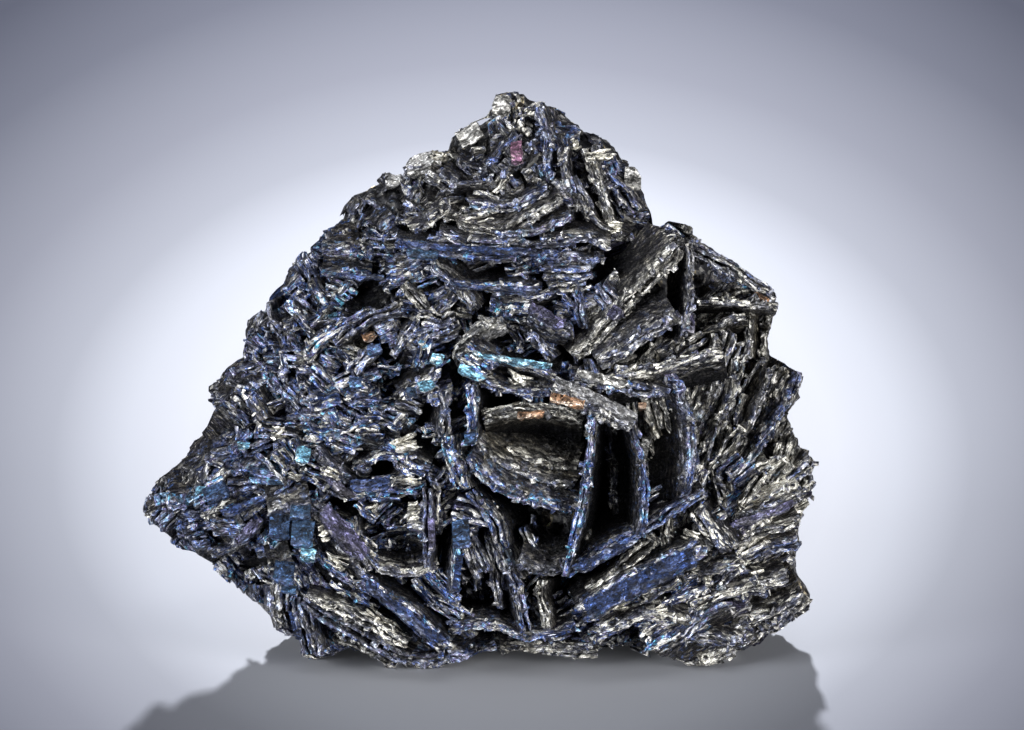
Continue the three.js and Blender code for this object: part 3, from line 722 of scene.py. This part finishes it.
def add_main_blades(heap, rng):
    """The blades that the picture shows one by one, each a stack of thin plates."""
    for rows, tint in MAIN_TINTS:
        for line, thick, front, lean, *own in rows:
            longest = own[1] if len(own) > 1 else LONGEST_REACH
            inward = facing(line[0], line[-1], lean)
            open_depth = float(front_depth(*line[len(line) // 2])) - front
            reach = min(max(open_depth, 0.5) / math.cos(math.radians(lean)) + 2.5, longest)
            points = np.array([point_in_view(x, y, front) for x, y in line])
            face = unit(np.cross(points[-1] - points[0], inward))
            plates = max(1, round(thick / PLATE_THICKNESS))
            shade = varied(rng, own[0] if own else tint, 0.35)
            shade[3] = float(own[:1] == ["silver"])
            for k in range(plates):
                shift = (k - (plates - 1) / 2) * thick / plates
                back = rng.random() * 0.5
                add_blade(
                    heap, rng, points + face * shift + inward * back, inward, reach - back,
                    thick / plates * 0.95, shade, step=0.28, rows=6, ragged=0.4, bend=0.5,
                )


def add_facets(heap, rng):
    """Flat faces almost square to the view, with one strong colour. Pale ones are in slivers."""
    for middle, (wide, tall), angle, proud, tint in FACETS:
        slivers = SLIVERS.get(tint, 1)
        for k in range(slivers):
            along, downward = directions(angle + off(rng, 12 * (slivers - 1)))
            centre = np.array(middle) + downward * tall * ((k + 0.5) / slivers - 0.5)
            high = tall / slivers * (0.8 if slivers > 1 else 1.0)
            half = wide / 2 * (0.55 + 0.6 * rng.random() if slivers > 1 else 1.0)
            below = centre + downward * high / 2
            start, end = below - along * half, below + along * half
            front = float(front_depth(*middle)) - proud + (slivers - 1) * 0.6 * rng.random()
            front = max(front, -HALF_DEPTH - 0.2)
            inward = facing(start, end, 70 + 15 * rng.random())
            points = np.array([point_in_view(*seen, front) for seen in (start, end)])
            shade = varied(rng, tint, 0.1)
            shade[3] = 1.0
            add_blade(
                heap, rng, points, inward, high * TENTH, FACE_THICKNESS, shade,
                step=0.26, rows=6, ragged=0.45, bend=0.3,
            )
            heap.rims[-1] *= FACE_RIM


def add_zone_blades(heap, rng, zones):
    """Small blades between the main ones, most of them in bundles of parallel plates."""
    for (cx, cy), (wide, tall), angle, spread, density, lengths, proud, tint in zones:
        for _ in range(int(density * BUNDLE_SHARE)):
            x = cx + off(rng, 2 * wide * ZONE_SPILL)
            y = cy + off(rng, 2 * tall * ZONE_SPILL)
            share = float(share_of_outline(x, y))
            if share > ZONE_LIMIT:
                continue
            along, beside = directions(angle + off(rng, 2 * spread))
            length = between(rng, lengths) * (1 if share < 0.9 else 0.6)
            ground = float(front_depth(x, y))
            front = max(ground - proud * (0.35 + 0.75 * rng.random()), -HALF_DEPTH + 1)
            lean = 70 * (rng.random() - 0.45)
            reach = (ground - front) / math.cos(math.radians(lean)) + 1.5
            tilt = (rng.random(2) - 0.5) * 1.5
            shade = varied(rng, tint)
            gap = between(rng, BUNDLE_GAPS)
            for k in range(1 + int(MOST_PLATES * rng.random())):
                half = 5 * length * (0.65 + 0.45 * rng.random())
                middle = np.array([x, y]) + beside * gap * k + along * off(rng, 5)
                start, end = middle - along * half, middle + along * half
                inward = facing(start, end, lean + off(rng, 6))
                plate_front = front + off(rng, 0.6)
                points = np.array([point_in_view(*seen, plate_front) for seen in (start, end)])
                points[:, 1] += tilt
                thick = between(rng, SMALL_THICKNESSES, 1.5)
                add_blade(
                    heap, rng, points, inward, reach, thick, shade,
                    step=0.45, rows=5, ragged=0.35, bend=0.12,
                )


def add_grains(heap, rng, hosts):
    """Small platy crystals that sit on the outer edges of the blades."""
    places = np.concatenate([points for host in hosts for points in host.points])
    rims = np.concatenate([part for host in hosts for part in host.rims])
    tints = np.concatenate([part for host in hosts for part in host.tints])
    count = GRAIN_CRYSTALS
    chosen = rng.choice(np.flatnonzero(rims > GRAIN_RIM), count)
    frames = np.linalg.qr(rng.normal(size=(count, 3, 3)))[0]
    sizes = GRAIN_SIZES[0] + (GRAIN_SIZES[1] - GRAIN_SIZES[0]) * rng.random(count) ** 2
    corners = np.array([(x, y, z) for z in (-1, 1) for y in (-1, 1) for x in (-1, 1)])
    local = corners * GRAIN_SHAPE + GRAIN_UNEVENNESS * (rng.random((count, 8, 3)) - 0.5)
    local *= sizes[:, None, None]
    points = places[chosen][:, None, :] + np.einsum("nij,nkj->nki", frames, local)
    box = np.array([
        (0, 2, 3, 1), (4, 5, 7, 6), (0, 1, 5, 4), (2, 6, 7, 3), (0, 4, 6, 2), (1, 3, 7, 5),
    ])
    faces = (box[None] + 8 * np.arange(count)[:, None, None]).reshape(-1, 4)
    shade = tints[chosen] + (rng.random((count, 4)) - 0.5) * (0.5, 0.5, 0.4, 0.0)
    shade = np.repeat(np.clip(shade, 0, 1), 8, axis=0)
    plate = (local + 90 * rng.random((count, 1, 3))).reshape(-1, 3)
    points = held_inside(points.reshape(-1, 3), 1.005)
    heap.add(points, faces, np.full(8 * count, 0.8), np.zeros(8 * count), plate, shade)


def add_back_blades(heap, rng):
    """Blades all over the back, the sides and the top."""
    centre = point_in_view(*BODY_CENTRE, RIM_Y)
    for number, lengths, thicks, proud, plates, least in BACK_BLADES:
        for _ in range(number):
            angle = rng.random() * 2 * math.pi
            share = math.sqrt(between(rng, (least**2, 0.99)))
            radius = float(outline_radius(angle)) * share * BACK_LIMIT
            seen = BODY_CENTRE + radius * np.array([math.cos(angle), math.sin(angle)])
            in_front = least > 0 and rng.random() < FRONT_SHARE
            depth = float(front_depth(*seen)) if in_front else back_depth(share)
            surface = point_in_view(*seen, depth)
            outward = unit((surface - centre) * (1.0, 1.8, 1.0))
            side = unit(np.cross(outward, [0, 0, 1] if abs(outward[2]) < 0.9 else [1, 0, 0]))
            turn = noise.noise(Vector(surface * 0.07)) * 3 + off(rng, 0.9)
            run = math.cos(turn) * side + math.sin(turn) * np.cross(outward, side)
            across = np.cross(outward, run)
            inward = unit(-outward + off(rng, 1) * across)
            length = between(rng, lengths, 1.5)
            middle = surface + outward * between(rng, proud)
            thick = between(rng, thicks, 2.0)
            points = np.array([middle - run * length / 2, middle + run * length / 2])
            shade = varied(rng, BACK_TINTS[int(rng.random() * 4)])
            shade[3] = 0.0
            for k in range(plates):
                shift = across * (k - (plates - 1) / 2) * thick / plates
                add_blade(
                    heap, rng, points + shift + inward * rng.random() * 0.5, inward, BACK_REACH,
                    thick / plates * 0.95, shade, step=0.55, rows=5, ragged=0.6, bend=0.3,
                )


def roughened(points):
    """Lumps of a few millimetres with grains on them."""
    centre = point_in_view(*BODY_CENTRE, RIM_Y)
    out = points.copy()
    for i, p in enumerate(points):
        lump = noise.noise(Vector(p * BODY_LUMP)) * BODY_LUMP_HEIGHT
        grain = noise.fractal(Vector(p * BODY_GRAIN), 0.8, 2.1, 3) * BODY_GRAIN_HEIGHT
        out[i] = p + unit(p - centre + 1e-6) * (lump + grain - BODY_SINK)
    return out


def add_body(material):
    """The granular body: rings of points from the front's middle over the rim to the back."""
    columns = np.linspace(-math.pi, math.pi, BODY_COLUMNS, endpoint=False)
    radius = outline_radius(columns) * BODY_RIM_SHARE
    spokes = np.stack([np.cos(columns), np.sin(columns)]) * radius
    half_rings = BODY_RINGS // 2
    points = [point_in_view(*BODY_CENTRE, float(front_depth(*BODY_CENTRE)))]
    for share in np.sin(np.linspace(0, math.pi / 2, half_rings))[1:]:
        across, down = BODY_CENTRE[:, None] + spokes * share
        y = RIM_Y - swell(share, FRONT_SWELL, FRONT_ROUNDNESS) + hollow_depth(across, down)
        points.extend(point_in_view(across, down, y).T)
    for share in np.sin(np.linspace(math.pi / 2, 0, half_rings))[1:-1]:
        across, down = BODY_CENTRE[:, None] + spokes * share
        y = np.full(BODY_COLUMNS, back_depth(share))
        points.extend(point_in_view(across, down, y).T)
    points.append(point_in_view(*BODY_CENTRE, back_depth(0.0)))
    index = 1 + np.arange(len(points) - 2).reshape(-1, BODY_COLUMNS)
    after = np.roll(index, -1, axis=1)
    quads = np.stack([index[:-1], index[1:], after[1:], after[:-1]], axis=-1).reshape(-1, 4)
    first, last = np.zeros_like(index[0]), np.full_like(index[0], len(points) - 1)
    front_fan = np.stack([first, index[0], after[0]], axis=-1)
    back_fan = np.stack([last, after[-1], index[-1]], axis=-1)
    faces = quads.tolist() + front_fan.tolist() + back_fan.tolist()
    low = [-HALF_WIDTH, -HALF_DEPTH, 0]
    high = [HALF_WIDTH, HALF_DEPTH, TOP + BODY_MARGIN]
    points = np.clip(roughened(np.array(points)), low, high)
    dress_solid(mesh_object("granular_body", points, faces, material))


class Nodes:
    """A short way to add and join a material's nodes."""

    def __init__(self, name):
        self.material = bpy.data.materials.new(name)
        self.material.use_nodes = True
        self.tree = self.material.node_tree
        self.shader = self.tree.nodes["Principled BSDF"]
        self.place = self.add("ShaderNodeTexCoord").outputs["Object"]

    def put(self, socket, value):
        if isinstance(value, bpy.types.NodeSocket):
            self.tree.links.new(value, socket)
        else:
            socket.default_value = value

    def fill(self, node, **inputs):
        """Sets or joins inputs of a node. An underscore stands for a space in their names."""
        for key, value in inputs.items():
            self.put(node.inputs[key.replace("_", " ")], value)
        return node

    def add(self, kind, **inputs):
        return self.fill(self.tree.nodes.new(kind), **inputs)

    def surface(self, **inputs):
        self.fill(self.shader, **inputs)

    def operate(self, kind, operation, values):
        node = self.tree.nodes.new(kind)
        node.operation = operation
        for socket, value in zip(node.inputs, values):
            self.put(socket, value)
        return node

    def maths(self, operation, *values, clamp=True):
        node = self.operate("ShaderNodeMath", operation, values)
        node.use_clamp = clamp
        return node.outputs[0]

    def vector(self, operation, *values):
        return self.operate("ShaderNodeVectorMath", operation, values).outputs["Vector"]

    def noise(self, place, scale, detail=2.0, rough=0.5, distortion=0.0):
        node = self.add(
            "ShaderNodeTexNoise", Vector=place, Scale=scale, Detail=detail, Roughness=rough,
            Distortion=distortion,
        )
        return node.outputs["Fac"]

    def cells(self, place, scale=1.0):
        """A random colour for each grain."""
        return self.add("ShaderNodeTexVoronoi", Vector=place, Scale=scale).outputs["Color"]

    def ramp(self, value, stops):
        node = self.add("ShaderNodeValToRGB", Fac=value)
        elements = node.color_ramp.elements
        while len(elements) < len(stops):
            elements.new(0.5)
        for element, (place, colour) in zip(elements, stops):
            element.position = place
            element.color = (*colour, 1.0)
        return node.outputs["Color"]

    def grey_ramp(self, value, stops):
        return self.ramp(value, [(place, (level,) * 3) for place, level in stops])

    def step(self, value, low, high):
        """A share that rises from 0 to 1 between two limits."""
        node = self.add("ShaderNodeMapRange", Value=value, From_Min=low, From_Max=high)
        return node.outputs["Result"]

    def mix(self, share, a, b):
        node = self.tree.nodes.new("ShaderNodeMix")
        node.data_type = "RGBA"
        self.put(node.inputs[0], share)
        for socket, colour in ((node.inputs[6], a), (node.inputs[7], b)):
            is_socket = isinstance(colour, bpy.types.NodeSocket)
            self.put(socket, colour if is_socket else (*colour, 1.0))
        return node.outputs[2]

    def attribute(self, name):
        node = self.tree.nodes.new("ShaderNodeAttribute")
        node.attribute_name = name
        return node

    def plate_place(self, stretch):
        """Place on a plate, along its edge, in from the edge and through it, times a stretch."""
        return self.vector("MULTIPLY", self.attribute("plate").outputs["Vector"], stretch)

    def bump(self, height, strength, distance, **inputs):
        node = self.add("ShaderNodeBump", Height=height, Strength=strength, Distance=distance)
        return self.fill(node, **inputs).outputs["Normal"]

    def tilted(self, normal, cells, amount):
        """A normal that is turned a little, and differently in each grain."""
        off = self.vector("SUBTRACT", cells, (0.5, 0.5, 0.5))
        turned = self.vector("MULTIPLY_ADD", off, (amount, amount, amount), normal)
        return self.vector("NORMALIZE", turned)

    def part(self, colour, k):
        return self.add("ShaderNodeSeparateColor", Color=colour).outputs[k]


def rim_colour(n, blue, spots):
    """Colour of the plates' edges: tarnish on blue ones and plain metal on the others."""
    patches = n.noise(n.place, 520, 3, 0.6, 0.3)
    tarnish = n.ramp(patches, [
        (0.28, (0.010, 0.012, 0.020)), (0.38, (0.020, 0.046, 0.160)),
        (0.44, (0.120, 0.125, 0.200)), (0.49, (0.036, 0.092, 0.320)),
        (0.54, (0.270, 0.300, 0.420)), (0.59, (0.120, 0.095, 0.220)),
        (0.66, (0.210, 0.370, 0.580)),
    ])
    cyan = n.maths("MULTIPLY", n.step(spots, 0.57, 0.64), n.maths("POWER", blue, 4.0))
    tarnish = n.mix(cyan, tarnish, (0.16, 0.56, 0.78))
    plain = n.ramp(spots, [
        (0.33, (0.020, 0.020, 0.022)), (0.50, (0.130, 0.130, 0.135)),
        (0.62, (0.500, 0.488, 0.440)),
    ])
    return n.mix(n.step(blue, 0.1, 0.8), plain, tarnish)


def face_colour(n, blue, brown, spots, striae):
    """Colour of plates' faces: nearly black, with fine pale lines, blue spots and painted shade.
    """
    face = n.mix(brown, (0.017, 0.017, 0.027), (0.034, 0.029, 0.019))
    lines = n.maths("MULTIPLY", n.step(striae, 0.50, 0.70), 0.5)
    face = n.mix(lines, face, (0.24, 0.22, 0.165))
    blue_spots = n.maths("MULTIPLY", n.step(spots, 0.56, 0.66), blue)
    face = n.mix(blue_spots, face, (0.05, 0.09, 0.22))
    # Painted shade: faces turn almost black towards their roots, where shade falls.
    painted_gap_shade = n.step(n.attribute("root").outputs["Fac"], 0.08, 0.52)
    return n.mix(painted_gap_shade, face, (0.002, 0.002, 0.003))


def flat_colour(n, blue, cream, brown):
    """The one colour of a flat face, chosen by the shares of its tint."""
    is_brown, is_violet = n.step(brown, 0.80, 0.95), n.step(blue, 0.35, 0.44)
    # Cream flat faces are partly pale grains and partly painted reflection of the lamps.
    flat = n.mix(n.step(cream, 0.35, 1.0), (0.20, 0.20, 0.205), (0.87, 0.83, 0.71))
    flat = n.mix(is_brown, flat, (0.24, 0.13, 0.07))
    flat = n.mix(is_violet, flat, (0.058, 0.054, 0.098))
    flat = n.mix(n.maths("MULTIPLY", is_brown, is_violet), flat, (0.25, 0.12, 0.19))
    flat = n.mix(n.step(blue, 0.57, 0.70), flat, (0.013, 0.023, 0.064))
    steel = n.mix(cream, (0.018, 0.034, 0.072), (0.240, 0.520, 0.680))
    return n.mix(n.step(blue, 0.84, 0.95), flat, steel)


def covellite_material():
    """Blue-black metal with blue and violet tarnish, cream flecks and painted glints on the
    edges.
    """
    n = Nodes("covellite_blades")
    tint = n.attribute("tint")
    blue, cream, brown = (n.part(tint.outputs["Color"], k) for k in range(3))
    rim = n.attribute("rim").outputs["Fac"]
    striae = n.noise(n.plate_place((1.0, 3.0, 7.0)), 1.0, 3.0, 0.65)
    spots = n.noise(n.place, 1200, 3, 0.65, 0.4)
    grains = n.cells(n.plate_place((4.8, 7.0, 7.0)))
    chips = n.cells(n.plate_place((1.2, 2.6, 2.6)))
    face = face_colour(n, blue, brown, spots, striae)
    face = n.mix(tint.outputs["Alpha"], face, flat_colour(n, blue, cream, brown))
    worn = n.maths("ADD", n.step(n.noise(n.place, 800, 2), 0.36, 0.56), 0.12)
    colour = n.mix(n.maths("MULTIPLY", rim, worn), face, rim_colour(n, blue, spots))
    # Pale cream flecks near the rims: partly pale grains and partly painted highlights.
    near_rim = n.maths("MULTIPLY", cream, n.step(rim, 0.0, 0.35))
    pale_fleck_and_glint = n.maths("MULTIPLY", n.step(n.part(chips, 0), 0.66, 0.68), near_rim)
    colour = n.mix(pale_fleck_and_glint, colour, (0.90, 0.87, 0.77))
    # Each grain, chip and stria gets a brightness of its own: random tone, and on the brightest
    # grains and chips painted glints.
    levels = (
        (n.part(grains, 1), [(0.0, 0.28), (0.45, 0.85), (0.75, 1.35), (0.92, 2.10), (1.0, 4.2)]),
        (n.part(chips, 1), [(0.15, 0.30), (0.45, 0.90), (0.75, 1.35), (0.95, 2.40)]),
        (striae, [(0.34, 0.30), (0.50, 1.08), (0.64, 2.1)]),
    )
    for value, stops in levels:
        colour = n.vector("MULTIPLY", colour, n.grey_ramp(value, stops))
    fine = n.bump(n.noise(n.place, 3000, 4, 0.7), 0.8, 0.00025)
    ridges = n.bump(striae, 0.7, 0.00015, Normal=fine)
    normal = n.tilted(n.tilted(ridges, chips, 0.35), grains, 0.75)
    roughness = n.step(n.part(grains, 2), -0.5, 1.7)
    n.surface(Base_Color=colour, Metallic=0.65, Roughness=roughness, Normal=normal)
    return n.material


def matrix_material():
    """Dark granular sulphide with grey and brassy grains."""
    n = Nodes("granular_matrix")
    grains = n.cells(n.place, 2100)
    lumps = n.cells(n.place, 800)
    dark = n.ramp(n.part(grains, 0), [
        (0.0, (0.004, 0.004, 0.006)), (0.5, (0.034, 0.034, 0.040)), (0.8, (0.110, 0.110, 0.115)),
        (0.95, (0.260, 0.255, 0.240)), (1.0, (0.50, 0.48, 0.44)),
    ])
    spots = n.step(n.noise(n.place, 420, 3, 0.6), 0.54, 0.62)
    brassy = n.maths("MULTIPLY", spots, n.step(n.part(lumps, 1), 0.4, 0.6))
    colour = n.mix(brassy, dark, n.vector("MULTIPLY", dark, (4.2, 3.6, 2.4)))
    light = n.grey_ramp(n.part(lumps, 2), [(0.1, 0.2), (0.9, 1.3)])
    colour = n.vector("MULTIPLY", colour, light)
    fine = n.bump(n.noise(n.place, 1800, 4, 0.7), 0.8, 0.0004)
    normal = n.tilted(n.tilted(fine, lumps, 0.6), grains, 0.7)
    roughness = n.step(n.part(grains, 2), -0.5, 1.7)
    n.surface(Base_Color=colour, Metallic=0.5, Roughness=roughness, Normal=normal)
    return n.material


def backdrop_material():
    """Pale lavender grey with painted shade that darkens it away from the middle of the view."""
    n = Nodes("pale_sweep")

    def along(axis):
        """How far a point lies from the camera's place along an axis, in metres."""
        node = n.operate("ShaderNodeVectorMath", "DOT_PRODUCT", (n.place, axis))
        start = float(np.dot(axis, CAMERA_PLACE)) * MM
        return n.maths("SUBTRACT", node.outputs["Value"], start, clamp=False)

    def angle_off(axis, stretch, middle):
        """The square of how far a point lies off the middle of the view, along an axis."""
        slope = n.maths("DIVIDE", along(axis), along(AWAY), clamp=False)
        off = n.maths("MULTIPLY_ADD", slope, stretch, middle, clamp=False)
        return n.maths("MULTIPLY", off, off, clamp=False)

    spread = n.maths(
        "ADD", angle_off(ACROSS, 7.0, 0.0), angle_off(UPWARD, 9.8, 0.17), clamp=False
    )
    # Painted shade: pale in the middle of the view and darker towards its edges.
    colour = n.ramp(spread, [
        (0.0, (0.325, 0.329, 0.350)), (0.16, (0.322, 0.330, 0.358)),
        (0.225, (0.280, 0.290, 0.320)), (0.32, (0.186, 0.193, 0.218)),
        (0.48, (0.122, 0.126, 0.148)), (0.74, (0.062, 0.065, 0.081)),
        (1.0, (0.033, 0.035, 0.046)),
    ])
    # A faint glow of the same colour is painted light that lifts the floor's shadow.
    n.surface(
        Base_Color=colour, Roughness=0.9, Specular_IOR_Level=0.0, Emission_Color=colour,
        Emission_Strength=0.04,
    )
    return n.material


def add_backdrop():
    """A floor that curves up into a wall behind the object."""
    floor_front, floor_back, bend, wall_top, half_width = -1500, 2600, 250, 1600, 1600
    steps = 16
    profile = [(floor_front, 0), (floor_back, 0)]
    for k in range(1, steps + 1):
        angle = math.pi / 2 * k / steps
        profile.append((floor_back + bend * math.sin(angle), bend - bend * math.cos(angle)))
    profile.append((floor_back + bend, wall_top))
    points = np.array([(x, y, z) for x in (-half_width, half_width) for y, z in profile])
    width = len(profile)
    faces = [(k, k + width, k + width + 1, k + 1) for k in range(width - 1)]
    mesh_object("backdrop", points, faces, backdrop_material(), smooth=True)


def add_area_light(name, place, size, watts, colour=(1.0, 1.0, 1.0)):
    """A lamp that points at the object. Its place and size are in metres."""
    data = bpy.data.lights.new(name, "AREA")
    data.size = size
    data.energy = watts
    data.color = colour
    made = bpy.data.objects.new(name, data)
    made.location = place
    made.rotation_euler = (LIT_PLACE - Vector(place)).to_track_quat("-Z", "Y").to_euler()
    bpy.context.scene.collection.objects.link(made)
    return made


def add_lights():
    """A strong lamp high behind, which casts the shadow, and soft ones in front."""
    back = add_area_light("back_top", (-0.02, 2.10, 0.66), 0.08, 310.0, (0.96, 0.97, 1.0))
    back.visible_glossy = False
    add_area_light("front_left", (-0.55, -0.50, 0.17), 0.30, 7.5, (0.95, 0.97, 1.0))
    add_area_light("front_right", (0.50, -0.60, 0.15), 0.30, 7.2, (1.0, 0.99, 0.97))
    add_area_light("front_top", (0.0, -0.45, 0.60), 0.30, 1.2)
    world = bpy.data.worlds.new("studio")
    world.use_nodes = True
    sky = world.node_tree.nodes["Background"]
    sky.inputs["Color"].default_value = (0.75, 0.78, 0.9, 1.0)
    sky.inputs["Strength"].default_value = 0.20
    bpy.context.scene.world = world


def add_camera():
    """A long lens at the angle of the front view, with the view's middle in its middle."""
    data = bpy.data.cameras.new("camera")
    data.lens = LENS
    data.clip_start = 0.01
    data.clip_end = 10
    made = bpy.data.objects.new("camera", data)
    made.location = Vector(CAMERA_PLACE * MM)
    made.rotation_euler = Vector(AWAY).to_track_quat("-Z", "Y").to_euler()
    bpy.context.scene.collection.objects.link(made)
    bpy.context.scene.camera = made


def made_piece(name, add, *more):
    """A heap that is filled with one kind of plates and turned into a piece."""
    heap = Heap()
    add(heap, rng, *more)
    heap.piece(name, covellite)
    return heap


CAMERA_PLACE = point_in_view(*VIEW_CENTRE, FRONT_PLANE) - AWAY * VIEW_WIDTH * LENS / SENSOR_WIDTH
LIT_PLACE = Vector((0, 0, 0.025))

bpy.context.scene.view_settings.view_transform = "Standard"
covellite = covellite_material()
rng = np.random.default_rng(11)
# Without a seed of its own, the noise that makes plates wavy differs from run to run.
noise.seed_set(11)
add_body(matrix_material())
hosts = [made_piece("main_blades", add_main_blades)]
made_piece("coloured_faces", add_facets)
for side, is_left in (("left", True), ("right", False)):
    zones = [zone for zone in ZONES if (zone[0][0] < SPLIT) == is_left]
    hosts.append(made_piece(f"small_blades_{side}", add_zone_blades, zones))
made_piece("crystal_grains", add_grains, hosts)
made_piece("back_and_side_blades", add_back_blades)
add_backdrop()
add_lights()
add_camera()
